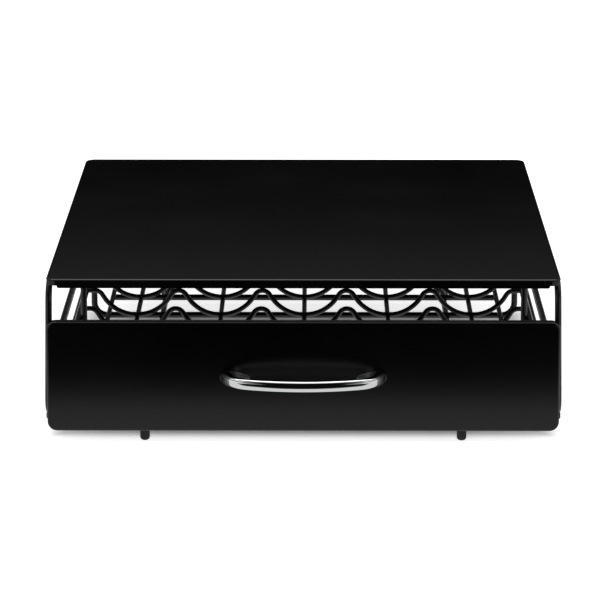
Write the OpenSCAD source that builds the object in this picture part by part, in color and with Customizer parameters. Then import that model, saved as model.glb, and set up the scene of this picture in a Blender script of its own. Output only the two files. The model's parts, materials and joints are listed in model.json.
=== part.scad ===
// Under-brewer storage drawer for coffee pods.
// A sheet-steel plate on a wire frame carries the brewer, and a wire basket with a pressed
// steel front slides out between the frame's side loops.
// X is the width, Y runs from the drawer front (negative) to the back, Z is up from the floor.

/* [Top plate] */
// Width of the top plate
plate_w = 288; // [240:1:400]
// Depth of the top plate from its front edge to its back edge
plate_d = 328; // [260:1:420]
// Height of the plate's upper face above the floor
unit_h = 94; // [90:1:130]
// Radius of the plate's corners
plate_corner_r = 6.5; // [3:0.5:12]
// Thickness of the sheet steel in the plate and the drawer front
sheet_t = 1; // [0.8:0.1:1.4]
// Outside radius of the folds in the sheet steel
fold_r = 1.5; // [1.5:0.1:2.5]
// Height of the folded lips along the plate's front and back edges
lip_h = 5; // [4:0.1:10]
// Height of the turned-down tabs at the plate's corners
tab_h = 3.6; // [2:0.1:4]
// How far the corner tabs reach back round the corners
tab_reach = 3; // [1:0.1:4]
// Width of the slit between a lip and a corner tab
lip_slit = 0.8; // [0.4:0.1:3]

/* [Frame wires] */
// Diameter of the wire in the frame and in the basket's outline
wire_d = 3.8; // [3:0.1:5]
// How far two welded wires sink into each other
weld = 0.2; // [0:0.05:0.3]
// Set-back of the side loops from the plate's front and back edges
loop_inset = 0.5; // [0:0.1:3]
// Centreline radius of the side loops' corners
loop_bend_r = 10; // [6:0.5:20]
// Angle by which the side loops lean outwards towards the floor
loop_lean = 1.2; // [0:0.1:3]
// Height of the centreline of the side loops' bottom run
loop_bottom_z = 15.4; // [14.5:0.1:20]
// Distance from the plate's sides to the centreline of each runner
runner_set = 54.6; // [44:0.1:84]
// Set-back of the runners' legs from the plate's front and back edges
leg_inset = 3.3; // [3:0.1:6]
// Centreline radius of the bend between a runner and its leg
leg_bend_r = 6; // [4:0.1:8]
// Share of the depth between the plate's edges and its two brace wires
brace_share = 0.3; // [0.2:0.01:0.4]

/* [Feet] */
// Diameter of the rubber foot caps
foot_d = 5.5; // [5:0.1:8]
// Height of the rubber foot caps
foot_h = 8.5; // [6:0.1:9]
// Thickness of the rubber under the end of the leg
foot_sole = 1.6; // [1.6:0.1:3]
// Radius of the rounded edge at the bottom of a cap
foot_edge_r = 2; // [1:0.1:2.2]
// Radial clearance between a leg and its cap
foot_fit = 0.02; // [0.01:0.01:0.1]

/* [Drawer front] */
// Width of the drawer front
panel_w = 287.4; // [240:1:400]
// Height of the drawer front
panel_h = 63.5; // [60:0.5:90]
// Height of the drawer front's lower edge above the floor
panel_bottom_z = 7.5; // [4:0.5:12]
// Depth of the folded rim round the drawer front
panel_depth = 5; // [4:0.1:10]
// Radius of the drawer front's corners
panel_corner_r = 5.4; // [4:0.1:12]
// Space between the drawer front and the side loops when the drawer is shut
panel_gap = 1; // [0.6:0.1:3]

/* [Handle] */
// Distance between the centrelines of the handle's two ends
handle_span = 84; // [76:1:100]
// Radius of the long curve of the grip
grip_curve_r = 110; // [90:1:200]
// Radius of the curve at each end of the grip
end_curve_r = 15.5; // [14:0.5:18]
// Height of the bar's cross-section
bar_h = 6.2; // [5.5:0.1:10]
// Thickness of the bar's cross-section from front to back
bar_t = 5; // [4:0.1:5.4]
// Width of the leaf-shaped foot at each end
leaf_w = 17; // [15:0.5:20]
// Height of the leaf-shaped foot at each end
leaf_h = 10; // [9:0.5:14]
// Thickness of the leaf's edge where it lies on the panel
leaf_t = 1.2; // [0.8:0.1:2]
// Distance between the two handle screws
screw_span = 78; // [74:1:80]
// Diameter of the screws' shanks
screw_d = 4; // [3:0.5:4]
// Length of the screws' shanks under the head
screw_len = 7.5; // [6:0.5:8]
// Depth of a threaded hole past the end of its screw
thread_tail = 0.4; // [0.2:0.1:1]
// Diameter of the screws' heads
screw_head_d = 8; // [6.5:0.5:9]
// Height of the screws' heads
screw_head_h = 2.4; // [1.5:0.1:3]
// Width of the cross recess in a screw's head
recess_w = 1.1; // [0.8:0.1:1.4]
// Length of the cross recess in a screw's head
recess_l = 4.4; // [3:0.1:5]
// Outside diameter of the washers
washer_d = 9; // [8.5:0.5:12]
// Thickness of the washers
washer_t = 0.8; // [0.5:0.1:1.5]
// Radial clearance of the screws in the panel and the washers
screw_gap = 0.25; // [0.1:0.05:0.5]
// Radial clearance of the screws in the handle's threaded holes
thread_gap = 0.03; // [0.01:0.01:0.05]

/* [Basket] */
// Space between the basket and the side loops on each side
side_gap = 3.4; // [2:0.1:8]
// Space between the rim wire and the drawer front's folded rim above it
rim_seat = 0.1; // [0.05:0.05:2]
// Space between the back of the basket and the plate's back edge
back_gap = 1.7; // [1:0.1:8]
// Centreline radius of the bends in the rim, the mid rail and the hoops
basket_bend_r = 8; // [5:0.5:12]
// Diameter of the wires that run along and under the pods
thin_d = 3; // [2.5:0.1:3.5]
// Centreline radius of the bend at the back of the wires under the pods
column_bend_r = 7; // [4:0.5:12]
// Running clearance between the basket and the runners
run_gap = 0.3; // [0.2:0.05:1]

/* [Pods] */
// Diameter of a pod's lid
lid_d = 51; // [45:0.5:60]
// Space between neighbouring lids
lid_gap = 0.8; // [0.4:0.1:5]
// Diameter of a pod's neck, just behind its lid
neck_d = 46; // [40:0.5:47]
// Spacing of the rows of pods from front to back
row_pitch = 44.5; // [40:0.5:60]
// Angle by which the pods' lids face upwards
pod_tilt = 10; // [0:1:15]
// Distance from the drawer front to the first row's necks
first_row = 17; // [14:0.5:30]
// Depth kept free for a pod behind its neck
pod_tail = 40; // [38:0.5:50]
// Half of the angle through which a cradle holds a pod's neck
cradle_angle = 60; // [50:1:65]

/* [Slide] */
// How far the drawer pulls out
travel = 220; // [100:1:225]
// Clearance between the guide hooks and the runners
hook_gap = 0.4; // [0.2:0.05:1]
// Inside reach of a guide hook under its runner, past the runner's middle
hook_reach = 4; // [2:0.1:6]
// Length of a guide hook's top run along the hoop
hook_top = 12; // [8:0.5:20]
// Centreline radius of a guide hook's bends
hook_bend_r = 3; // [2:0.1:3]
// Space left at the end of the travel between the guide hooks and the stop wire
stop_gap = 0.4; // [0.2:0.1:2]

/* [Hidden] */
$fn = 48;
eps = 0.01;
seam_rise = 0.02;
seam_l = 0.4;
black_coat = [0.06, 0.06, 0.065];
black_rubber = [0.1, 0.1, 0.1];
chrome = [0.85, 0.86, 0.88];
zinc = [0.7, 0.71, 0.72];
wire_r = wire_d / 2;
thin_r = thin_d / 2;
// Two crossed and welded wires lie this far apart
cross_step = wire_d - weld;
thin_step = wire_r + thin_r - weld;

// Handle: the long curve passes into the end curves, which turn square to the panel
grip_angle = asin((handle_span / 2 - end_curve_r) / (grip_curve_r - end_curve_r));
seam_x = grip_curve_r * sin(grip_angle);
seam_y = -end_curve_r * cos(grip_angle);
handle_reach = grip_curve_r * (1 - cos(grip_angle)) - seam_y;
handle_z = panel_bottom_z + panel_h / 2;
thread_depth = screw_len - sheet_t - washer_t + thread_tail;

// Depth positions, centred so that the footprint's middle is the origin
front_out = panel_gap - loop_inset + panel_depth + handle_reach + bar_t / 2;
front_y = round(50 * (front_out - plate_d)) / 100;
back_y = front_y + plate_d;
loop_front_y = front_y + loop_inset + wire_r;
loop_back_y = back_y - loop_inset - wire_r;
panel_back_y = front_y + loop_inset - panel_gap;
panel_face_y = panel_back_y - panel_depth;
panel_inner_y = panel_face_y + sheet_t;

// Frame positions
runner_x = plate_w / 2 - runner_set;
plate_under_z = unit_h - sheet_t;
loop_top_z = plate_under_z - wire_r;
loop_x = plate_w / 2 - wire_r;
loop_foot_x = loop_x + (loop_top_z - loop_bottom_z) * sin(loop_lean);
cross_z = loop_bottom_z - cross_step;
cross_front_y = loop_front_y + loop_bend_r;
cross_back_y = loop_back_y - loop_bend_r;

// Basket outline and levels
rim_x = plate_w / 2 - wire_d - side_gap - wire_r;
rim_z = panel_bottom_z + panel_h - sheet_t - rim_seat - wire_r;
rim_back_y = back_y - back_gap - wire_r;
hoop_x = rim_x - cross_step;
hoop_z = loop_bottom_z + wire_d + run_gap;
column_z = hoop_z + thin_step;
cradle_z = column_z + thin_d - weld;
column_back_y = rim_back_y - thin_step;

// Pods: columns across the basket and rows along it
col_pitch = lid_d + lid_gap;
columns = floor(2 * (rim_x - wire_r) / col_pitch);
rows = floor((column_back_y - thin_r - pod_tail - panel_face_y - first_row) / row_pitch) + 1;
column_x = [for (c = [0 : columns - 1]) (c - (columns - 1) / 2) * col_pitch];
neck_line_r = neck_d / 2 + thin_r;
crest_r = col_pitch / (2 * sin(cradle_angle)) - neck_line_r;
crest_centre_y = -(neck_line_r + crest_r) * cos(cradle_angle);
crest_y = crest_centre_y + crest_r;
neck_z = cradle_z + neck_line_r * cos(pod_tilt);
mid_rail_z = neck_z + crest_y * cos(pod_tilt);

// Cross members of the basket's floor stand half a row behind each cradle's foot
function row_y(i) = panel_face_y + first_row + i * row_pitch;
function floor_y(i) = row_y(i) - neck_line_r * sin(pod_tilt) + row_pitch / 2;
hoop_rows = [for (i = [2 : 2 : rows - 1]) i];
floor_rows = [for (i = [0 : rows - 1]) if (i == 0 || i % 2 == 1) i];
front_hoop_y = panel_inner_y + wire_r;
hook_y = floor_y(max(hoop_rows)) - wire_r - thin_r;
stop_y = hook_y - thin_r - travel - stop_gap - wire_r;

// Direction in degrees from point a to point b
function heading(a, b) = atan2(b.y - a.y, b.x - a.x);

// Signed angle by which a path turns at b, on its way from a to c
function turn(a, b, c) =
    let (t = heading(b, c) - heading(a, b))
    t > 180 ? t - 360 : t < -180 ? t + 360 : t;

// Length of the straight wire that a bend at b takes up on each side
function bend_reach(a, b, c, r) = r * tan(abs(turn(a, b, c)) / 2);

// Straight round wire between two points of the XY plane
module straight_wire(a, b, d) {
    translate([a.x, a.y, 0])
        rotate([0, 90, heading(a, b)])
            cylinder(d = d, h = norm(b - a));
}

// Round wire bent about the origin of the XY plane
module arc_wire(r, d, from, to) {
    rotate([0, 0, from])
        rotate_extrude(angle = to - from)
            translate([r, 0])
                circle(d = d);
}

// Sleeve, a hair thicker than the wire, that joins two stretches which meet at a slant
module wire_seam(at, angle, d) {
    translate([at.x, at.y, 0])
        rotate([0, 90, angle])
            cylinder(d = d + 2 * seam_rise, h = seam_l, center = true);
}

// Round wire along the corners of a path in the XY plane, with a bend at each corner
module bent_wire(path, r, d, closed = false) {
    n = len(path);
    for (i = [0 : closed ? n - 1 : n - 2]) {
        a = path[i];
        b = path[(i + 1) % n];
        along = (b - a) / norm(b - a);
        trim_a = closed || i > 0 ? bend_reach(path[(i + n - 1) % n], a, b, r) : 0;
        trim_b = closed || i < n - 2 ? bend_reach(a, b, path[(i + 2) % n], r) : 0;
        straight_wire(a + trim_a * along, b - trim_b * along, d);
    }
    for (i = [closed ? 0 : 1 : closed ? n - 1 : n - 2]) {
        a = path[(i + n - 1) % n];
        b = path[i];
        t = turn(a, b, path[(i + 1) % n]);
        side = sign(t);
        in_heading = heading(a, b);
        along = [cos(in_heading), sin(in_heading)];
        left = [-along.y, along.x];
        centre = b - r * tan(abs(t) / 2) * along + side * r * left;
        translate([centre.x, centre.y, 0])
            arc_wire(r, d, in_heading + (side > 0 ? -90 : 90 + t), in_heading + (side > 0 ? -90 + t : 90));
    }
}

// Stand a flat wire up so that its path runs over Y and Z, at a given X
module in_side_plane(x) {
    translate([x, 0, 0])
        rotate([90, 0, 90])
            children();
}

// Stand a flat wire up so that its path runs over X and Z, at a given Y
module in_front_plane(y) {
    translate([0, y, 0])
        rotate([90, 0, 0])
            children();
}

// Straight wire across the unit, centred on X
module across_wire(half, y, z, d) {
    translate([-half, y, z])
        rotate([0, 90, 0])
            cylinder(d = d, h = 2 * half);
}

// Rounded rectangle centred on the origin
module rounded_rect(w, h, r) {
    square([w, h - 2 * r], center = true);
    square([w - 2 * r, h], center = true);
    for (sx = [-1, 1], sy = [-1, 1])
        translate([sx * (w / 2 - r), sy * (h / 2 - r)])
            circle(r = r);
}

// Block with rounded corners whose lower edge, at z = 0, is rounded by edge_r
module soft_block(w, h, depth, corner_r, edge_r) {
    translate([0, 0, edge_r])
        linear_extrude(depth - edge_r)
            rounded_rect(w, h, corner_r);
    linear_extrude(depth)
        rounded_rect(w - 2 * edge_r, h - 2 * edge_r, corner_r - edge_r);
    for (sx = [-1, 1], sy = [-1, 1])
        translate([sx * (w / 2 - corner_r), sy * (h / 2 - corner_r), edge_r])
            rotate_extrude()
                translate([corner_r - edge_r, 0])
                    circle(r = edge_r);
    for (sy = [-1, 1])
        translate([corner_r - w / 2, sy * (h / 2 - edge_r), edge_r])
            rotate([0, 90, 0])
                cylinder(r = edge_r, h = w - 2 * corner_r);
    for (sx = [-1, 1])
        translate([sx * (w / 2 - edge_r), h / 2 - corner_r, edge_r])
            rotate([90, 0, 0])
                cylinder(r = edge_r, h = h - 2 * corner_r);
}

// ---- Frame ----

// Tray with a folded wall all round, before its sides are opened
module plate_tray()
    translate([0, (front_y + back_y) / 2, unit_h])
        rotate([180, 0, 0])
            difference() {
                soft_block(plate_w, plate_d, lip_h, plate_corner_r, fold_r);
                translate([0, 0, sheet_t])
                    soft_block(plate_w - 2 * sheet_t, plate_d - 2 * sheet_t, lip_h,
                               plate_corner_r - sheet_t, fold_r - sheet_t);
            }

// What is cut away at one front corner: the slit beside the lip and the foot of the tab
module corner_cut() {
    translate([plate_w / 2 - plate_corner_r - lip_slit, front_y - eps, unit_h - lip_h - eps])
        cube([lip_slit, sheet_t + 2 * eps, lip_h - fold_r + eps]);
    translate([plate_w / 2 - plate_corner_r - eps, front_y - eps, unit_h - lip_h - eps])
        cube([plate_corner_r + 2 * eps, tab_reach + 2 * eps, lip_h - tab_h + eps]);
}

// The sheet has a lip at its front and back, a tab round each corner and plain sides
module top_plate() color(black_coat)
    difference() {
        plate_tray();
        for (side = [0, 1])
            mirror([side, 0, 0]) {
                translate([plate_w / 2 - plate_corner_r, front_y + tab_reach, unit_h - lip_h - eps])
                    cube([plate_corner_r + eps, plate_d - 2 * tab_reach, lip_h - sheet_t + eps]);
                corner_cut();
                translate([0, front_y + back_y, 0])
                    mirror([0, 1, 0])
                        corner_cut();
            }
    }

// Closed loop under each side of the plate
module side_loop(side) color(black_coat)
    translate([side * loop_x, 0, loop_top_z])
        rotate([0, -side * loop_lean, 0])
            translate([0, 0, -loop_top_z])
                in_side_plane(0)
                    bent_wire([[loop_front_y, loop_bottom_z], [loop_back_y, loop_bottom_z],
                               [loop_back_y, loop_top_z], [loop_front_y, loop_top_z]],
                              loop_bend_r, wire_d, closed = true);

module side_loop_left() side_loop(-1);
module side_loop_right() side_loop(1);

// Wires under the plate, butt-welded between the side loops' top runs
module plate_brace(y) color(black_coat)
    across_wire(loop_x - wire_r + weld, y, loop_top_z, wire_d);

module plate_brace_front() plate_brace(front_y + brace_share * plate_d);
module plate_brace_back() plate_brace(back_y - brace_share * plate_d);

// Wires under the side loops and the runners, flush with the loops' outer sides
module cross_wire(y) color(black_coat)
    across_wire(loop_foot_x + wire_r, y, cross_z, wire_d);

module cross_wire_front() cross_wire(cross_front_y);
module cross_wire_stop() cross_wire(stop_y);
module cross_wire_back() cross_wire(cross_back_y);

// Runner wire whose two ends are bent down as legs
module runner(side) color(black_coat)
    in_side_plane(side * runner_x)
        bent_wire([[front_y + leg_inset, foot_sole], [front_y + leg_inset, loop_bottom_z],
                   [back_y - leg_inset, loop_bottom_z], [back_y - leg_inset, foot_sole]],
                  leg_bend_r, wire_d);

module runner_left() runner(-1);
module runner_right() runner(1);

// Rubber cap pushed over the end of a leg
module foot_cap(side, y) color(black_rubber)
    translate([side * runner_x, y, 0])
        difference() {
            rotate_extrude() {
                translate([0, foot_edge_r])
                    square([foot_d / 2, foot_h - foot_edge_r]);
                square([foot_d / 2 - foot_edge_r, foot_edge_r]);
                intersection() {
                    translate([foot_d / 2 - foot_edge_r, foot_edge_r])
                        circle(r = foot_edge_r);
                    square([foot_d / 2, foot_edge_r]);
                }
            }
            translate([0, 0, foot_sole])
                cylinder(r = wire_r + foot_fit, h = foot_h);
        }

module foot_cap_front_left() foot_cap(-1, front_y + leg_inset);
module foot_cap_front_right() foot_cap(1, front_y + leg_inset);
module foot_cap_back_left() foot_cap(-1, back_y - leg_inset);
module foot_cap_back_right() foot_cap(1, back_y - leg_inset);

// ---- Drawer front and handle ----

module drawer_front() color(black_coat)
    difference() {
        translate([0, panel_face_y, handle_z])
            rotate([-90, 0, 0])
                difference() {
                    soft_block(panel_w, panel_h, panel_depth, panel_corner_r, fold_r);
                    translate([0, 0, sheet_t])
                        soft_block(panel_w - 2 * sheet_t, panel_h - 2 * sheet_t, panel_depth,
                                   panel_corner_r - sheet_t, fold_r - sheet_t);
                }
        for (side = [-1, 1])
            translate([side * screw_span / 2, panel_face_y - eps, handle_z])
                rotate([-90, 0, 0])
                    cylinder(r = screw_d / 2 + screw_gap, h = sheet_t + 2 * eps);
    }

// Cross-section of the handle's bar, with flat front and back, grown by rise all round
module bar_section(rise = 0) {
    square([bar_t + 2 * rise, bar_h - bar_t], center = true);
    for (end = [-1, 1])
        translate([0, end * (bar_h - bar_t) / 2])
            circle(d = bar_t + 2 * rise);
}

// Bar bent about the origin, for one stretch of the bow
module bar_arc(r, from, to)
    rotate([0, 0, from])
        rotate_extrude(angle = to - from, $fn = 96)
            translate([r, 0])
                bar_section();

// Right-hand half of the bow, in a plane with the panel's face at y = 0
module half_bow() {
    translate([0, grip_curve_r - handle_reach])
        bar_arc(grip_curve_r, 270, 270 + grip_angle);
    translate([seam_x, seam_y])
        rotate([90, 0, grip_angle + 90])
            linear_extrude(seam_l, center = true)
                bar_section(seam_rise);
    translate([handle_span / 2 - end_curve_r, 0])
        mirror([0, 1, 0])
            bar_arc(end_curve_r, 0, 90 - grip_angle);
}

// Leaf-shaped foot: a pad against the panel that tapers up into the bar
module leaf(side)
    hull($fn = 32) {
        translate([side * screw_span / 2, 0, 0])
            rotate([90, 0, 0])
                linear_extrude(leaf_t)
                    rounded_rect(leaf_w, leaf_h, 0.45 * leaf_h);
        translate([side * (handle_span / 2 - 0.15 * end_curve_r), -0.5 * end_curve_r, 0])
            rotate([90, 0, 0])
                linear_extrude(0.2 * end_curve_r)
                    rounded_rect(0.5 * bar_t, 0.6 * bar_h, 0.2 * bar_t);
    }

module handle() color(chrome)
    translate([0, panel_face_y, handle_z])
        difference() {
            union() {
                half_bow();
                mirror([1, 0, 0])
                    half_bow();
                for (side = [-1, 1])
                    leaf(side);
            }
            for (side = [-1, 1])
                translate([side * screw_span / 2, eps, 0])
                    rotate([90, 0, 0])
                        cylinder(r = screw_d / 2 + thread_gap, h = thread_depth + eps);
        }

// Pan-head screws, driven from inside the drawer front
module handle_screws() color(zinc)
    for (side = [-1, 1])
        translate([side * screw_span / 2, panel_inner_y + washer_t, handle_z])
            rotate([-90, 0, 0])
                difference() {
                    union() {
                        translate([0, 0, -screw_len])
                            cylinder(d = screw_d, h = screw_len + screw_head_h / 2);
                        cylinder(d = screw_head_d, h = screw_head_h / 2);
                        translate([0, 0, screw_head_h / 2])
                            cylinder(d1 = screw_head_d, d2 = 0.7 * screw_head_d, h = screw_head_h / 2);
                    }
                    for (a = [0, 90])
                        rotate([0, 0, a])
                            translate([-recess_l / 2, -recess_w / 2, screw_head_h / 3])
                                cube([recess_l, recess_w, screw_head_h]);
                }

module handle_washers() color(zinc)
    for (side = [-1, 1])
        translate([side * screw_span / 2, panel_inner_y, handle_z])
            rotate([-90, 0, 0])
                difference() {
                    cylinder(d = washer_d, h = washer_t);
                    translate([0, 0, -eps])
                        cylinder(r = screw_d / 2 + screw_gap, h = washer_t + 2 * eps);
                }

// ---- Basket ----

// U-shaped rail round the basket's sides and back, butted against the drawer front
module basket_rail(z) color(black_coat)
    translate([0, 0, z])
        bent_wire([[-rim_x, panel_inner_y], [-rim_x, rim_back_y], [rim_x, rim_back_y],
                   [rim_x, panel_inner_y]],
                  basket_bend_r, wire_d);

module basket_rim() basket_rail(rim_z);
module basket_mid_rail() basket_rail(mid_rail_z);

// Hoops pass under the floor and up inside the two rails
module basket_hoops() color(black_coat)
    for (y = concat([front_hoop_y], [for (i = hoop_rows) floor_y(i)]))
        in_front_plane(y)
            bent_wire([[-hoop_x, rim_z + wire_r], [-hoop_x, hoop_z], [hoop_x, hoop_z],
                       [hoop_x, rim_z + wire_r]],
                      basket_bend_r, wire_d);

// Straight cross members between the hoops, under the outer column wires
outer_column_x = hoop_x - basket_bend_r - thin_r;

module floor_wires() color(black_coat)
    for (i = floor_rows)
        across_wire(outer_column_x + thin_r, floor_y(i), hoop_z, wire_d);

// Wires under the pods, which turn up at the back and stand against the rails
module column_wires() color(black_coat)
    for (x = concat([-outer_column_x], column_x, [outer_column_x]))
        in_side_plane(x)
            bent_wire([[panel_inner_y, column_z], [column_back_y, column_z],
                       [column_back_y, rim_z + wire_r]],
                      column_bend_r, thin_d);

// Scalloped wire of one row: a valley under each pod's neck and a crest between the pods
module cradle() {
    side_x = columns * col_pitch / 2;
    for (x = column_x)
        translate([x, 0, 0]) {
            arc_wire(neck_line_r, thin_d, 270 - cradle_angle, 270 + cradle_angle);
            for (side = [-1, 1])
                wire_seam(neck_line_r * [side * sin(cradle_angle), -cos(cradle_angle)],
                          side * cradle_angle, thin_d);
        }
    for (c = [1 : columns - 1])
        translate([(c - columns / 2) * col_pitch, crest_centre_y, 0])
            arc_wire(crest_r, thin_d, 90 - cradle_angle, 90 + cradle_angle);
    for (side = [0, 1])
        mirror([side, 0, 0]) {
            translate([side_x, crest_centre_y, 0])
                arc_wire(crest_r, thin_d, 90, 90 + cradle_angle);
            wire_seam([side_x, crest_y], 0, thin_d);
            straight_wire([side_x, crest_y], [rim_x - wire_r + weld, crest_y], thin_d);
        }
}

module cradle_wires() color(black_coat)
    for (i = [0 : rows - 1])
        translate([0, row_y(i), neck_z])
            rotate([90 - pod_tilt, 0, 0])
                cradle();

// Hooks at the back of the basket: they reach under the runners, keep the drawer from
// tipping, and meet the stop wire at the end of the travel
module guide_hook(side) color(black_coat)
    in_front_plane(hook_y) {
        leg_x = runner_x - wire_r - hook_gap - thin_r;
        low_z = loop_bottom_z - wire_r - hook_gap - thin_r;
        mirror([side < 0 ? 1 : 0, 0, 0])
            bent_wire([[leg_x - hook_top, hoop_z], [leg_x, hoop_z], [leg_x, low_z],
                       [runner_x + hook_reach, low_z]],
                      hook_bend_r, thin_d);
    }

module guide_hook_left() guide_hook(-1);
module guide_hook_right() guide_hook(1);

top_plate();
side_loop_left();
side_loop_right();
plate_brace_front();
plate_brace_back();
cross_wire_front();
cross_wire_stop();
cross_wire_back();
runner_left();
runner_right();
foot_cap_front_left();
foot_cap_front_right();
foot_cap_back_left();
foot_cap_back_right();
drawer_front();
handle();
handle_screws();
handle_washers();
basket_rim();
basket_mid_rail();
basket_hoops();
floor_wires();
column_wires();
cradle_wires();
guide_hook_left();
guide_hook_right();
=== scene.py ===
import json
import math
import bmesh
import bpy
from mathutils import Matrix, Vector


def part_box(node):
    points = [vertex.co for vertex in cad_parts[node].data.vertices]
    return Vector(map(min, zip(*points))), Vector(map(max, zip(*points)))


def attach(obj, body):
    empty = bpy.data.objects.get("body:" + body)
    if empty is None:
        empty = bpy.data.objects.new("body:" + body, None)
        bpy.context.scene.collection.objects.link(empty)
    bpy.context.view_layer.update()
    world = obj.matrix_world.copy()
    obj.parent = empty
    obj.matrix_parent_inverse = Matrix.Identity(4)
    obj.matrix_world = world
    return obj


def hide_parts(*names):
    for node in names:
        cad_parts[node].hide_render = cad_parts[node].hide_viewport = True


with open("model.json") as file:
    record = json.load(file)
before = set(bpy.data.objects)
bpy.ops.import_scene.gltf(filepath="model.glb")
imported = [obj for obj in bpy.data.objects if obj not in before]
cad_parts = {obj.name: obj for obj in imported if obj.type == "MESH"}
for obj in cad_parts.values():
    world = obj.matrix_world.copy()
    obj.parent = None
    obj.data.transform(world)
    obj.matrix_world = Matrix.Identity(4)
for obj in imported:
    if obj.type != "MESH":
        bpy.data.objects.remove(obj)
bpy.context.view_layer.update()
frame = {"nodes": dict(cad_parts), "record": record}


# shader maths as Python expressions

class Sock:
    # one output socket of a node tree; + - * add the Math nodes
    def __init__(self, graph, out):
        self.graph = graph
        self.out = out

    def math(self, operation, a, b):
        return self.graph.add("ShaderNodeMath", {"operation": operation}, {0: a, 1: b})

    def __add__(self, other):
        return self.math("ADD", self, other)

    __radd__ = __add__

    def __mul__(self, other):
        return self.math("MULTIPLY", self, other)

    __rmul__ = __mul__

    def __sub__(self, other):
        return self.math("SUBTRACT", self, other)

    def __rsub__(self, other):
        return self.math("SUBTRACT", other, self)

    def larger(self, other):
        return self.math("MAXIMUM", self, other)

    def size(self):  # without its sign
        return self.math("ABSOLUTE", self, 0)

    def between(self, start, end):  # 0 below start, 1 above end, smooth in the middle
        return self.graph.add("ShaderNodeMapRange", {"interpolation_type": "SMOOTHSTEP"},
                              {"Value": self, "From Min": start, "From Max": end})


class Graph:
    # builds one node tree
    def __init__(self, tree):
        self.tree = tree
        tree.nodes.clear()

    def add(self, kind, settings=None, values=None, out=0):
        # a node's type, its settings first, then the values or links of its sockets
        n = self.tree.nodes.new(kind)
        for key, value in (settings or {}).items():
            setattr(n, key, value)
        for key, value in (values or {}).items():
            socket = n.inputs[key]
            if isinstance(value, Sock):
                self.tree.links.new(value.out, socket)
            else:
                socket.default_value = value
        return Sock(self, n.outputs[out]) if len(n.outputs) else None

    def outputs(self, kind, names, values=None):
        # a node's outputs, by name
        first = self.add(kind, None, values)
        return [Sock(self, first.out.node.outputs[name]) for name in names]

    def objectPlace(self):
        return self.add("ShaderNodeTexCoord", out="Object")

    def noise(self, scale, detail=2.0, rough=0.5, place=None):
        return self.add("ShaderNodeTexNoise", None,
                        {"Vector": place or self.objectPlace(), "Scale": scale,
                         "Detail": detail, "Roughness": rough})

    def mixColours(self, factor, a, b):
        a, b = [c if isinstance(c, Sock) else (*c, 1) for c in (a, b)]
        return self.add("ShaderNodeMix", {"data_type": "RGBA"}, {0: factor, 6: a, 7: b}, out=2)

    def bump(self, height, strength, distance):
        return self.add("ShaderNodeBump", None,
                        {"Height": height, "Strength": strength, "Distance": distance})


def newMaterial(name):
    material = bpy.data.materials.new(name)
    material.use_nodes = True
    return material, Graph(material.node_tree)


def finishSurface(g, sockets):
    shader = g.add("ShaderNodeBsdfPrincipled", None, sockets)
    g.add("ShaderNodeOutputMaterial", None, {"Surface": shader})


# finishes

coatSkin = {
    "mottleFrom": 0.35,
    "mottleTo": 0.7,
    "mottleRough": 0.06,
    "speckRatio": 2.6,    # how much finer the specks are than the orange peel
    "speckRough": 0.05,
    "speckShare": 0.35,
}
plateCoat = {
    "dark": (0.0006, 0.0006, 0.0008),
    "pale": (0.0014, 0.0014, 0.0016),
    "rough": 0.08,
    "ior": 1.4,
    "mottleScale": 14.0,
    "peelScale": 900.0,
    "peel": 0.12,
    "peelDepth": 0.0001,
}
frontCoat = {
    "dark": (0.0003, 0.0003, 0.0004),
    "pale": (0.0008, 0.0008, 0.0009),
    "rough": 0.25,
    "ior": 1.45,
    "mottleScale": 10.0,
    "peelScale": 700.0,
    "peel": 0.05,
    "peelDepth": 0.0001,
}
wireCoat = {
    "dark": (0.002, 0.002, 0.0024),
    "pale": (0.004, 0.004, 0.0046),
    "rough": 0.24,
    "ior": 1.45,
    "mottleScale": 40.0,
    "peelScale": 1400.0,
    "peel": 0.2,
    "peelDepth": 0.0001,
}


def powderCoat(name, look):
    # baked powder paint: near-black, faintly mottled, with a fine orange-peel skin
    material, g = newMaterial(name)
    cloud = g.noise(look["mottleScale"], detail=3.0)
    peel = g.noise(look["peelScale"], rough=0.6)
    speck = g.noise(look["peelScale"] * coatSkin["speckRatio"], detail=1.0)
    mottle = cloud.between(coatSkin["mottleFrom"], coatSkin["mottleTo"])
    finishSurface(g, {
        "Base Color": g.mixColours(mottle, look["dark"], look["pale"]),
        "Roughness": (look["rough"] + (cloud - 0.5) * coatSkin["mottleRough"]
                      + (speck - 0.5) * coatSkin["speckRough"]),
        "IOR": look["ior"],
        "Normal": g.bump(peel + speck * coatSkin["speckShare"], look["peel"], look["peelDepth"]),
    })
    return material


bowChrome = {
    "dark": (0.78, 0.79, 0.8),
    "pale": (0.86, 0.865, 0.87),
    "rough": 0.03,
    "hazeRough": 0.03,
    "hazeScale": 120.0,
    "hazeFrom": 0.45,
    "hazeTo": 0.75,
    "waveScale": 60.0,
    "wave": 0.05,
    "waveDepth": 0.0005,
    "footTop": 0.0012,    # the feet's satin and painted shade start to fade this far from the drawer front
    "footBlur": 0.004,
    "footRough": 0.3,
    # painted shade: the feet's base colour is darkened to stand in for the dark surroundings they
    # reflect
    "footPaintedShade": (0.12, 0.12, 0.125),
}


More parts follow.
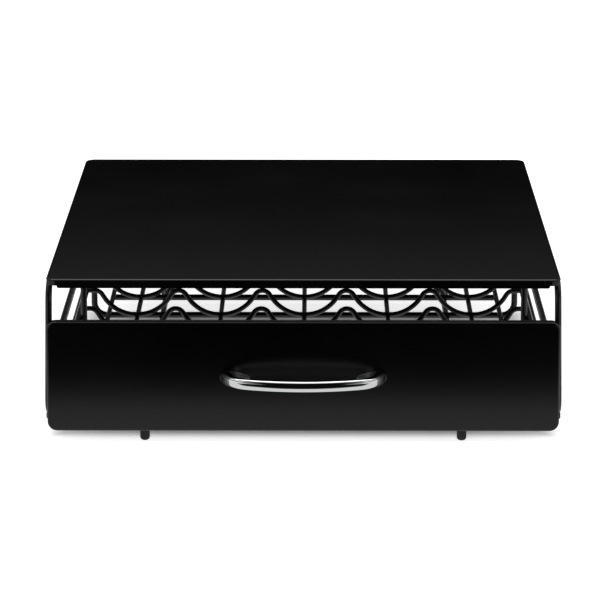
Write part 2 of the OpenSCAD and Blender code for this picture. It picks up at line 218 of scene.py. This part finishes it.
def polishedChrome(name, look):
    # bright plate over a cast bow: a slight haze, the soft waviness of the casting, and satin feet
    # whose darker base colour is painted shade
    material, g = newMaterial(name)
    haze = g.noise(look["hazeScale"], detail=4.0, rough=0.6)
    wave = g.noise(look["waveScale"], detail=1.0)
    y = g.outputs("ShaderNodeSeparateXYZ", ["Y"], {"Vector": g.objectPlace()})[0]
    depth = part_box("drawer_front")[0][1] - y
    foot = 1 - depth.between(look["footTop"], look["footTop"] + look["footBlur"])
    plate = g.mixColours(haze, look["dark"], look["pale"])
    hazed = haze.between(look["hazeFrom"], look["hazeTo"]) * look["hazeRough"]
    finishSurface(g, {
        # the feet's darker base colour is painted shade, and their higher roughness is real satin
        "Base Color": g.mixColours(foot, plate, look["footPaintedShade"]),
        "Metallic": 1.0,
        "Roughness": look["rough"] + hazed + foot * look["footRough"],
        "Normal": g.bump(wave, look["wave"], look["waveDepth"]),
    })
    return material


screwZinc = {
    "blue": (0.55, 0.57, 0.6),
    "pale": (0.68, 0.68, 0.66),
    "rough": 0.24,
    "patchScale": 300.0,
    "markScale": 2400.0,
    "markRough": 0.16,
    "mark": 0.25,
    "markDepth": 0.0001,
}


def zincPlate(name, look):
    # bright zinc: blue-grey patches over fine rolling marks
    material, g = newMaterial(name)
    patch = g.noise(look["patchScale"])
    marks = g.noise(look["markScale"], detail=3.0)
    finishSurface(g, {
        "Base Color": g.mixColours(patch, look["blue"], look["pale"]),
        "Metallic": 1.0,
        "Roughness": look["rough"] + marks * look["markRough"],
        "Normal": g.bump(marks, look["mark"], look["markDepth"]),
    })
    return material


capRubber = {
    "dark": (0.008, 0.008, 0.008),
    "dusty": (0.018, 0.017, 0.016),
    "rough": 0.6,
    "ior": 1.45,
    "dustScale": 250.0,
    "dustFrom": 0.4,
    "dustTo": 0.75,
    "poreScale": 2600.0,
    "poreRough": 0.15,
    "pore": 0.5,
    "poreDepth": 0.0001,
}


def softRubber(name, look):
    # moulded rubber: dull, dusty in the pores
    material, g = newMaterial(name)
    pores = g.noise(look["poreScale"], rough=0.7)
    dust = g.noise(look["dustScale"], detail=3.0).between(look["dustFrom"], look["dustTo"])
    finishSurface(g, {
        "Base Color": g.mixColours(dust, look["dark"], look["dusty"]),
        "Roughness": look["rough"] + pores * look["poreRough"],
        "IOR": look["ior"],
        "Normal": g.bump(pores, look["pore"], look["poreDepth"]),
    })
    return material


finishes = {
    "plate_coat": powderCoat("plateCoat", plateCoat),
    "front_coat": powderCoat("frontCoat", frontCoat),
    "wire_coat": powderCoat("wireCoat", wireCoat),
    "handle_chrome": polishedChrome("bowChrome", bowChrome),
    "fasteners": zincPlate("screwZinc", screwZinc),
    "foot_rubber": softRubber("capRubber", capRubber),
}
for part in frame["record"]["subparts"]:
    node = frame["nodes"][part["node"]]
    node.data.materials.clear()
    node.data.materials.append(finishes[part["material_slot"]])
print("finishes made:", len(finishes))


# what every new object and mesh needs

def addObject(name, data):
    made = bpy.data.objects.new(name, data)
    bpy.context.scene.collection.objects.link(made)
    return made


def closedMesh(name, bm):
    # the mesh of a closed shape, with its faces turned outwards
    bmesh.ops.recalc_face_normals(bm, faces=bm.faces)
    mesh = bpy.data.meshes.new(name)
    bm.to_mesh(mesh)
    bm.free()
    return mesh


# where the wires cross, in metres, from the frame's own boxes

def middle(name):
    return [(a + b) / 2 for a, b in zip(*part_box(name))]


def low(name):
    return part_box(name)[0]


def high(name):
    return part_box(name)[1]


basketSizes = {
    "columnPitch": 0.0518,
    "columns": 5,
    "rowPitch": 0.0445,
    "rows": 7,
    "firstRow": 0.017,
    "tilt": math.radians(10),
    "neckR": 0.0245,        # centreline radius of a cradle's valleys
    "valleyBite": 0.0002,   # how far a valley sinks into the column wire
    "frontSheet": 0.001,    # thickness of the drawer front's sheet
    "loopLean": 0.0005,     # how far inside the loop's widest place its welds sit
}
wireR = (high("plate_brace_front")[2] - low("plate_brace_front")[2]) / 2
thinR = (high("guide_hook_left")[1] - low("guide_hook_left")[1]) / 2
faceY = low("drawer_front")[1]
hoopZ = low("basket_hoops")[2] + wireR
columnZ = low("column_wires")[2] + thinR
railX = high("basket_rim")[0] - wireR
rimZ = middle("basket_rim")[2]
midZ = middle("basket_mid_rail")[2]
hoopX = high("basket_hoops")[0] - wireR
railBackY = high("basket_rim")[1] - wireR
outerColumn = high("column_wires")[0] - thinR
loopTopX = high("top_plate")[0] - wireR
loopFootX = high("side_loop_right")[0] - wireR
columnXs = [(c - (basketSizes["columns"] - 1) / 2) * basketSizes["columnPitch"]
            for c in range(basketSizes["columns"])]
rowYs = [faceY + basketSizes["firstRow"] + i * basketSizes["rowPitch"]
         for i in range(basketSizes["rows"])]
footDrop = basketSizes["neckR"] * math.sin(basketSizes["tilt"])
floorYs = [y - footDrop + basketSizes["rowPitch"] / 2 for y in rowYs]
hoopYs = [faceY + basketSizes["frontSheet"] + wireR]
hoopYs += [floorYs[i] for i in range(2, basketSizes["rows"], 2)]
print("rows at", [round(y, 4) for y in rowYs])


def frameWelds():
    # frame wires under the loops and runners, and the braces' butt ends
    spots = []
    runnerZ = high("runner_left")[2] - wireR
    for wire in ("cross_wire_front", "cross_wire_stop", "cross_wire_back"):
        y, z = middle(wire)[1:]
        for x in (loopFootX - basketSizes["loopLean"], high("runner_right")[0] - wireR):
            spots += [(-x, y, (z + runnerZ) / 2), (x, y, (z + runnerZ) / 2)]
    for brace in ("plate_brace_front", "plate_brace_back"):
        y, z = middle(brace)[1:]
        spots += [(wireR - loopTopX, y, z), (loopTopX - wireR, y, z)]
    return spots


def drawerWelds():
    spots = []
    crossYs = hoopYs + [floorYs[i] for i in range(basketSizes["rows"]) if i == 0 or i % 2 == 1]
    wireXs = columnXs + [-outerColumn, outerColumn]
    backY = high("column_wires")[1] - thinR
    for x in wireXs:
        for y in crossYs:  # floor crossings
            spots.append((x, y, (hoopZ + wireR + columnZ - thinR) / 2))
        for z in (midZ, rimZ):  # uprights against the rails
            spots.append((x, (backY + thinR + railBackY - wireR) / 2, z))
    for y in hoopYs:
        for side in (-1, 1):
            for z in (midZ, rimZ):
                spots.append((side * (hoopX + railX) / 2, y, z))
    for y in rowYs:
        for x in columnXs:  # a cradle's valleys on the column wires
            spots.append((x, y - footDrop, columnZ + thinR - basketSizes["valleyBite"] / 2))
        for side in (-1, 1):
            spots.append((side * (railX - wireR), y, midZ))
    return spots


weldBead = {
    "width": 0.0032,
    "height": 0.0013,
    "spread": 0.18,    # how much a bead's size differs
    "turn": 0.6,       # radians either way
    "facets": 3,       # how often the ball's faces are divided
    "seed": 11,
    "turnSeed": 5,     # added to the seed
}


def beadTree(name):
    # Geometry Nodes: a flattened, slightly uneven bead on every crossing
    tree = bpy.data.node_groups.new(name, "GeometryNodeTree")
    face = tree.interface
    face.new_socket("Geometry", in_out="INPUT", socket_type="NodeSocketGeometry")
    settings = []
    for label, kind, key in (("Bead width", "NodeSocketFloat", "width"),
                             ("Bead height", "NodeSocketFloat", "height"),
                             ("Spread", "NodeSocketFloat", "spread"),
                             ("Seed", "NodeSocketInt", "seed")):
        made = face.new_socket(label, in_out="INPUT", socket_type=kind)
        settings.append((made.identifier, weldBead[key]))
    face.new_socket("Geometry", in_out="OUTPUT", socket_type="NodeSocketGeometry")
    g = Graph(tree)
    spots, wide, tall, spread, seed = g.outputs(
        "NodeGroupInput", ["Geometry", "Bead width", "Bead height", "Spread", "Seed"])
    ball = g.add("GeometryNodeMeshIcoSphere", None,  # 1 m across, then scaled to the bead
                 {"Radius": 0.5, "Subdivisions": weldBead["facets"]})
    size = g.add("ShaderNodeCombineXYZ", None, {"X": wide, "Y": wide, "Z": tall})
    flat = g.add("GeometryNodeTransform", None, {"Geometry": ball, "Scale": size})
    grow = g.add("FunctionNodeRandomValue", {"data_type": "FLOAT"},
                 {"Min": 1 - spread, "Max": 1 + spread, "Seed": seed}, out=1)
    spin = g.add("FunctionNodeRandomValue", {"data_type": "FLOAT"},
                 {"Min": -weldBead["turn"], "Max": weldBead["turn"],
                  "Seed": seed + weldBead["turnSeed"]}, out=1)
    turn = g.add("ShaderNodeCombineXYZ", None, {"Z": spin})
    placed = g.add("GeometryNodeInstanceOnPoints", None,
                   {"Points": spots, "Instance": flat, "Scale": grow, "Rotation": turn})
    real = g.add("GeometryNodeRealizeInstances", None, {"Geometry": placed})
    smooth = g.add("GeometryNodeSetShadeSmooth", None, {"Geometry": real})
    coated = g.add("GeometryNodeSetMaterial", None,
                   {"Geometry": smooth, "Material": finishes["wire_coat"]})
    g.add("NodeGroupOutput", None, {"Geometry": coated})
    return tree, settings


def growBeads(name, spots, body):
    cloud = bpy.data.meshes.new(name + "Spots")
    cloud.from_pydata(spots, [], [])
    holder = addObject(name + "Holder", cloud)
    modifier = holder.modifiers.new("beads", "NODES")
    modifier.node_group, settings = beadTree(name + "Tree")
    for identifier, value in settings:
        modifier[identifier] = value
    graph = bpy.context.evaluated_depsgraph_get()
    mesh = bpy.data.meshes.new_from_object(holder.evaluated_get(graph))
    mesh.name = name
    holder.modifiers.clear()
    bpy.data.objects.remove(holder)
    bpy.data.meshes.remove(cloud)
    piece = addObject(name, mesh)
    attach(piece, body)
    return piece


frameBeads = growBeads("frame_weld_beads", frameWelds(), "frame")
drawerBeads = growBeads("basket_weld_beads", drawerWelds(), "drawer")
print("weld beads:", len(frameBeads.data.polygons), "+", len(drawerBeads.data.polygons), "faces")


# plate corners: the seam between each lip and its corner tab is welded and ground flush

plateSeam = {
    "cornerR": 0.0065,
    "slit": 0.0008,
    "lip": 0.005,
    "tab": 0.0036,
    "fold": 0.0015,
    "sheet": 0.001,
    "bite": 0.0001,    # how far the weld runs into the sheet on each side
    "steps": 6,
}


def makeSeams():
    lo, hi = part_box("top_plate")
    inner = hi[0] - plateSeam["cornerR"] - plateSeam["slit"] - plateSeam["bite"]
    outer = hi[0] - plateSeam["cornerR"] + plateSeam["bite"]
    foot, rise = hi[2] - plateSeam["lip"], plateSeam["lip"] - plateSeam["tab"]
    top = hi[2] - plateSeam["fold"] + plateSeam["bite"]
    outline = [(outer, top), (inner, top)]
    for i in range(plateSeam["steps"] + 1):  # the fillet from the lip's foot up to the tab's
        a = math.pi / 2 * i / plateSeam["steps"]
        outline.append((inner + (outer - inner) * math.sin(a), foot + rise * (1 - math.cos(a))))
    n = len(outline)
    skins = (plateSeam["bite"] / 2, plateSeam["sheet"] - plateSeam["bite"] / 2)
    bm = bmesh.new()
    for side in (-1, 1):
        for edgeY, into in ((lo[1], 1), (hi[1], -1)):
            near, far = [[bm.verts.new((side * px, edgeY + into * deep, pz)) for px, pz in outline]
                         for deep in skins]
            for k in range(n):
                bm.faces.new((near[k], near[(k + 1) % n], far[(k + 1) % n], far[k]))
            bm.faces.new(near)
            bm.faces.new(list(reversed(far)))
    mesh = closedMesh("plate_corner_seams", bm)
    mesh.materials.append(finishes["plate_coat"])
    piece = addObject("plate_corner_seams", mesh)
    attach(piece, "frame")
    return piece


seams = makeSeams()
print("corner seams:", len(seams.data.polygons), "faces")


# handle: one smooth cast bow from leaf to leaf

bow = {
    "halfSpan": 0.0427,       # middle line of the arms
    "longR": 0.110,
    "endR": 0.0155,
    "bar": (0.0050, 0.0062),  # front to back, and height
    "neck": (0.0066, 0.0076),
    "neckEnd": 0.013,         # depth at which the neck has thinned to the bar
    "square": 2.7,            # 2 is an ellipse, more is squarer
    "roll": math.radians(-3),
    "footX": 0.0383,
    "foot": (0.0172, 0.0094),
    "footPoint": 0.5,         # how much the inner end narrows
    "footClear": 0.0004,      # gap kept between the foot's last ring and the neck's first
    "crease": math.radians(25),
    "ring": 48,
    "endSteps": 26,
    "longSteps": 30,
}
# the foot's crisp rim and flat face, then the neck: depth in metres, and how much is still foot
footSteps = ((0.0, 1.0), (0.0010, 1.0), (0.00105, 0.985), (0.00108, 0.02), (0.0013, 0.0))


def bowPath():
    # the right half, from the panel to the middle of the grip: x, depth and heading
    lean = math.asin((bow["halfSpan"] - bow["endR"]) / (bow["longR"] - bow["endR"]))
    reach = bow["longR"] * (1 - math.cos(lean)) + bow["endR"] * math.cos(lean)
    points = []
    for i in range(bow["endSteps"] + 1):
        a = (math.pi / 2 - lean) * i / bow["endSteps"]
        x = bow["halfSpan"] - bow["endR"] * (1 - math.cos(a))
        points.append((x, bow["endR"] * math.sin(a), a))
    for i in range(1, bow["longSteps"] + 1):
        a = lean * (1 - i / bow["longSteps"])
        depth = reach - bow["longR"] * (1 - math.cos(a))
        points.append((bow["longR"] * math.sin(a), depth, math.pi / 2 - a))
    return points


def squircle(k, wide, tall):
    a = 2 * math.pi * k / bow["ring"]
    c, s = math.cos(a), math.sin(a)
    power = 2 / bow["square"]
    return (wide / 2 * math.copysign(abs(c) ** power, c),
            tall / 2 * math.copysign(abs(s) ** power, s))


def footOutline(k):
    # a teardrop on the panel, blunt outside and narrower towards the grip's middle
    a = 2 * math.pi * k / bow["ring"]
    narrow = 1 - bow["footPoint"] * (1 - math.cos(a)) / 2
    return bow["foot"][0] / 2 * math.cos(a), bow["foot"][1] / 2 * math.sin(a) * narrow


def bowRing(x, depth, heading, footShare):
    thin = min(1, depth / bow["neckEnd"])
    thin = thin * thin * (3 - 2 * thin)  # eased at both ends
    wide, tall = [n + (b - n) * thin for n, b in zip(bow["neck"], bow["bar"])]
    roll = bow["roll"] * thin
    ring = []
    for k in range(bow["ring"]):
        u, w = squircle(k, wide, tall)
        u, w = u * math.cos(roll) - w * math.sin(roll), u * math.sin(roll) + w * math.cos(roll)
        fu, fw = footOutline(k)
        px = x + u * math.cos(heading)
        ring.append((px + (bow["footX"] + fu - px) * footShare,
                     -(depth + u * math.sin(heading) * (1 - footShare)),
                     w + (fw - w) * footShare))
    return ring


def shadeByAngle(mesh, angle):
    # smooth shading, with a crease wherever two faces meet at more than this angle
    for polygon in mesh.polygons:
        polygon.use_smooth = True
    bm = bmesh.new()
    bm.from_mesh(mesh)
    for edge in bm.edges:
        edge.smooth = len(edge.link_faces) == 2 and edge.calc_face_angle() < angle
    bm.to_mesh(mesh)
    bm.free()


def makeBow():
    zero = middle("handle")[2]
    neckStart = footSteps[-1][0] + bow["footClear"]
    half = [bowRing(bow["halfSpan"], depth, 0, share) for depth, share in footSteps]
    half += [bowRing(x, depth, heading, 0) for x, depth, heading in bowPath() if depth > neckStart]
    rings = half + [[(-px, py, pz) for px, py, pz in ring] for ring in reversed(half[:-1])]
    bm = bmesh.new()
    grid = [[bm.verts.new((px, py + faceY, pz + zero)) for px, py, pz in ring] for ring in rings]
    n = bow["ring"]
    for a, b in zip(grid, grid[1:]):
        for k in range(n):
            bm.faces.new((a[k], a[(k + 1) % n], b[(k + 1) % n], b[k]))
    bm.faces.new(list(reversed(grid[0])))
    bm.faces.new(grid[-1])
    mesh = closedMesh("bow_handle", bm)
    mesh.materials.append(finishes["handle_chrome"])
    shadeByAngle(mesh, bow["crease"])
    piece = addObject("bow_handle", mesh)
    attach(piece, "drawer")
    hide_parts("handle")
    return piece


bowHandle = makeBow()
print("handle faces:", len(bowHandle.data.polygons))


# floor, world, lamps and camera

white = (1, 1, 1, 1)
floorLook = {
    "half": 4.0,
    "colour": 0.9,
    "grain": 0.01,
    "grainScale": 30.0,
    "lift": 0.07,          # camera rays only: a base glow under the part, around it and far off
    # painted shadow: the camera-seen glow below rises across the edge of the part's footprint and
    # stays low under it
    "paintedShadowEdgeLift": 0.63,
    "paintedShadowEdgeFrom": -0.029,
    "paintedShadowEdgeTo": -0.009,
    "paintedShadowEdgeSide": 0.015,
    "farLift": 0.4,
    "farFrom": 0.2,
    "farTo": 0.8,
    "mirror": 0.72,        # glossy rays only
    "mirrorDark": 0.004,
    "mirrorNear": 0.085,
    "mirrorFar": 0.1,
    "sideStart": 0.14,
    "sideSlant": 0.35,
    "sideBlur": 0.08,
}


def makeFloor():
    mesh = bpy.data.meshes.new("floor")
    h = floorLook["half"]
    mesh.from_pydata([(-h, -h, 0), (h, -h, 0), (h, h, 0), (-h, h, 0)], [], [(0, 1, 2, 3)])
    floor = addObject("floor", mesh)
    material, g = newMaterial("paleFloor")
    place = g.objectPlace()
    away = g.add("ShaderNodeVectorMath", {"operation": "LENGTH"}, {0: place}, out="Value")
    x, y = g.outputs("ShaderNodeSeparateXYZ", ["X", "Y"], {"Vector": place})
    grain = g.noise(floorLook["grainScale"], place=place)
    shade = g.mixColours(grain, [floorLook["colour"] - floorLook["grain"]] * 3,
                         [floorLook["colour"] + floorLook["grain"]] * 3)
    paint = g.add("ShaderNodeBsdfDiffuse", None, {"Color": shade})
    # how far a point lies outside the part's footprint
    beyond = (x.size() - loopFootX - floorLook["paintedShadowEdgeSide"]).larger(y.size() + faceY)
    # the contact shadow is partly the lamps' real shadow and partly painted shadow: this glow is
    # held back under the footprint
    near = beyond.between(floorLook["paintedShadowEdgeFrom"], floorLook["paintedShadowEdgeTo"]) * floorLook["paintedShadowEdgeLift"]
    far = away.between(floorLook["farFrom"], floorLook["farTo"]) * floorLook["farLift"]
    glow = g.add("ShaderNodeEmission", None,
                 {"Color": white, "Strength": far + floorLook["lift"] + near})
    lit = g.add("ShaderNodeAddShader", None, {0: paint, 1: glow})
    # polished parts see a pale strip before the drawer and pale floor to the sides
    front = faceY - y
    strip = 1 - front.between(floorLook["mirrorNear"], floorLook["mirrorFar"])
    flank = x.size() - front * floorLook["sideSlant"] - floorLook["sideStart"]
    sweep = strip.larger(flank.between(0, floorLook["sideBlur"]))
    mirrored = g.add("ShaderNodeEmission", None, {
        "Color": white, "Strength": sweep * floorLook["mirror"] + floorLook["mirrorDark"]})
    seen, glossy = g.outputs("ShaderNodeLightPath", ["Is Camera Ray", "Is Glossy Ray"])
    plain = g.add("ShaderNodeMixShader", None, {0: seen, 1: paint, 2: lit})
    mixed = g.add("ShaderNodeMixShader", None, {0: glossy, 1: plain, 2: mirrored})
    g.add("ShaderNodeOutputMaterial", None, {"Surface": mixed})
    mesh.materials.append(material)


# each limit, such as a From, To, Foot or Fade, is measured along a direction's unit vector
studio = {
    "ambient": 0.5,        # what lights the object; the rest is for glossy rays only
    "dark": 0.003,
    "overhead": 1.0,
    "overheadFrom": 0.8,
    "overheadTo": 0.93,
    "softbox": 5.0,
    "softboxFrom": 0.2,
    "softboxTo": 0.28,
    "softboxEnd": 0.55,
    "softboxFade": 0.1,
    "softboxFoot": 0.75,
    "softboxTop": 0.82,
    "sides": 0.8,
    "sidesFrom": 0.35,
    "sidesTo": 0.75,
    "sidesFoot": 0.3,
    "sidesFade": 0.15,
    "skirt": 0.14,         # the walls' pale foot ends here
    "skirtFade": 0.08,
    "backGlow": 0.11,
    "backFrom": 0.21,
    "backTo": 0.28,
    "backFade": 0.3,
}


def makeWorld():
    world = bpy.data.worlds.new("studio")
    bpy.context.scene.world = world
    world.use_nodes = True
    g = Graph(world.node_tree)
    direction = g.add("ShaderNodeTexCoord", out="Generated")
    x, back, up = g.outputs("ShaderNodeSeparateXYZ", ["X", "Y", "Z"], {"Vector": direction})
    ceiling = up.between(studio["overheadFrom"], studio["overheadTo"]) * studio["overhead"]
    softbox = back.between(studio["softboxFrom"], studio["softboxTo"])
    softbox = softbox * up.between(studio["softboxFoot"], studio["softboxTop"])
    softboxEnd = studio["softboxEnd"] + studio["softboxFade"]
    softbox = softbox * (1 - back.between(studio["softboxEnd"], softboxEnd)) * studio["softbox"]
    skirt = 1 - up.between(studio["skirt"], studio["skirt"] + studio["skirtFade"])
    wall = up.between(studio["sidesFoot"], studio["sidesFoot"] + studio["sidesFade"])
    sides = x.size().between(studio["sidesFrom"], studio["sidesTo"]) * studio["sides"]
    sides = sides * wall.larger(skirt)
    haze = up.between(studio["backFrom"], studio["backTo"]) * studio["backGlow"]
    haze = haze * back.between(0, studio["backFade"])
    mirrored = ceiling.larger(softbox).larger(sides).larger(haze) + studio["dark"]
    seen, glossy, through = g.outputs(
        "ShaderNodeLightPath", ["Is Camera Ray", "Is Glossy Ray", "Is Transmission Ray"])
    level = studio["ambient"] + (seen + through) * (1 - studio["ambient"])
    level = level * (1 - glossy) + mirrored * glossy
    light = g.add("ShaderNodeBackground", None, {"Color": white, "Strength": level})
    g.add("ShaderNodeOutputWorld", None, {"Surface": light})


lamps = {
    "keyLamp": {"place": (-0.5, -0.7, 1.7), "aim": (0, 0, 0.05), "size": 1.4, "power": 10.0},
    "fillLamp": {"place": (0.9, -0.5, 1.3), "aim": (0, 0, 0.05), "size": 1.2, "power": 4.0},
    "frontLamp": {"place": (0, -1.6, 0.65), "aim": (0, -0.15, 0), "size": 0.9, "power": 9.0},
}


def makeLamp(name, look):
    data = bpy.data.lights.new(name, "AREA")
    data.shape = "DISK"
    data.size = look["size"]
    data.energy = look["power"]
    lamp = addObject(name, data)
    lamp.location = look["place"]
    aim = Vector(look["aim"]) - Vector(look["place"])
    lamp.rotation_euler = aim.to_track_quat("-Z", "Y").to_euler()
    lamp.visible_glossy = False


camera = {
    "place": (0.0056, -1.85196, 0.5183),
    "pitch": 14.37,      # degrees down
    "heading": 0.25,     # degrees to the left
    "lens": 189.0,
    "sensor": 36.0,
    "farthest": 20,
}


def makeCamera():
    data = bpy.data.cameras.new("camera")
    data.lens = camera["lens"]
    data.sensor_width = camera["sensor"]
    data.clip_end = camera["farthest"]
    shot = addObject("camera", data)
    shot.location = camera["place"]
    tilt = math.radians(90 - camera["pitch"])
    shot.rotation_euler = (tilt, 0, math.radians(camera["heading"]))
    bpy.context.scene.camera = shot


makeFloor()
makeWorld()
for lampName, lampLook in lamps.items():
    makeLamp(lampName, lampLook)
makeCamera()
bpy.context.scene.view_settings.view_transform = "Standard"
print("studio ready")
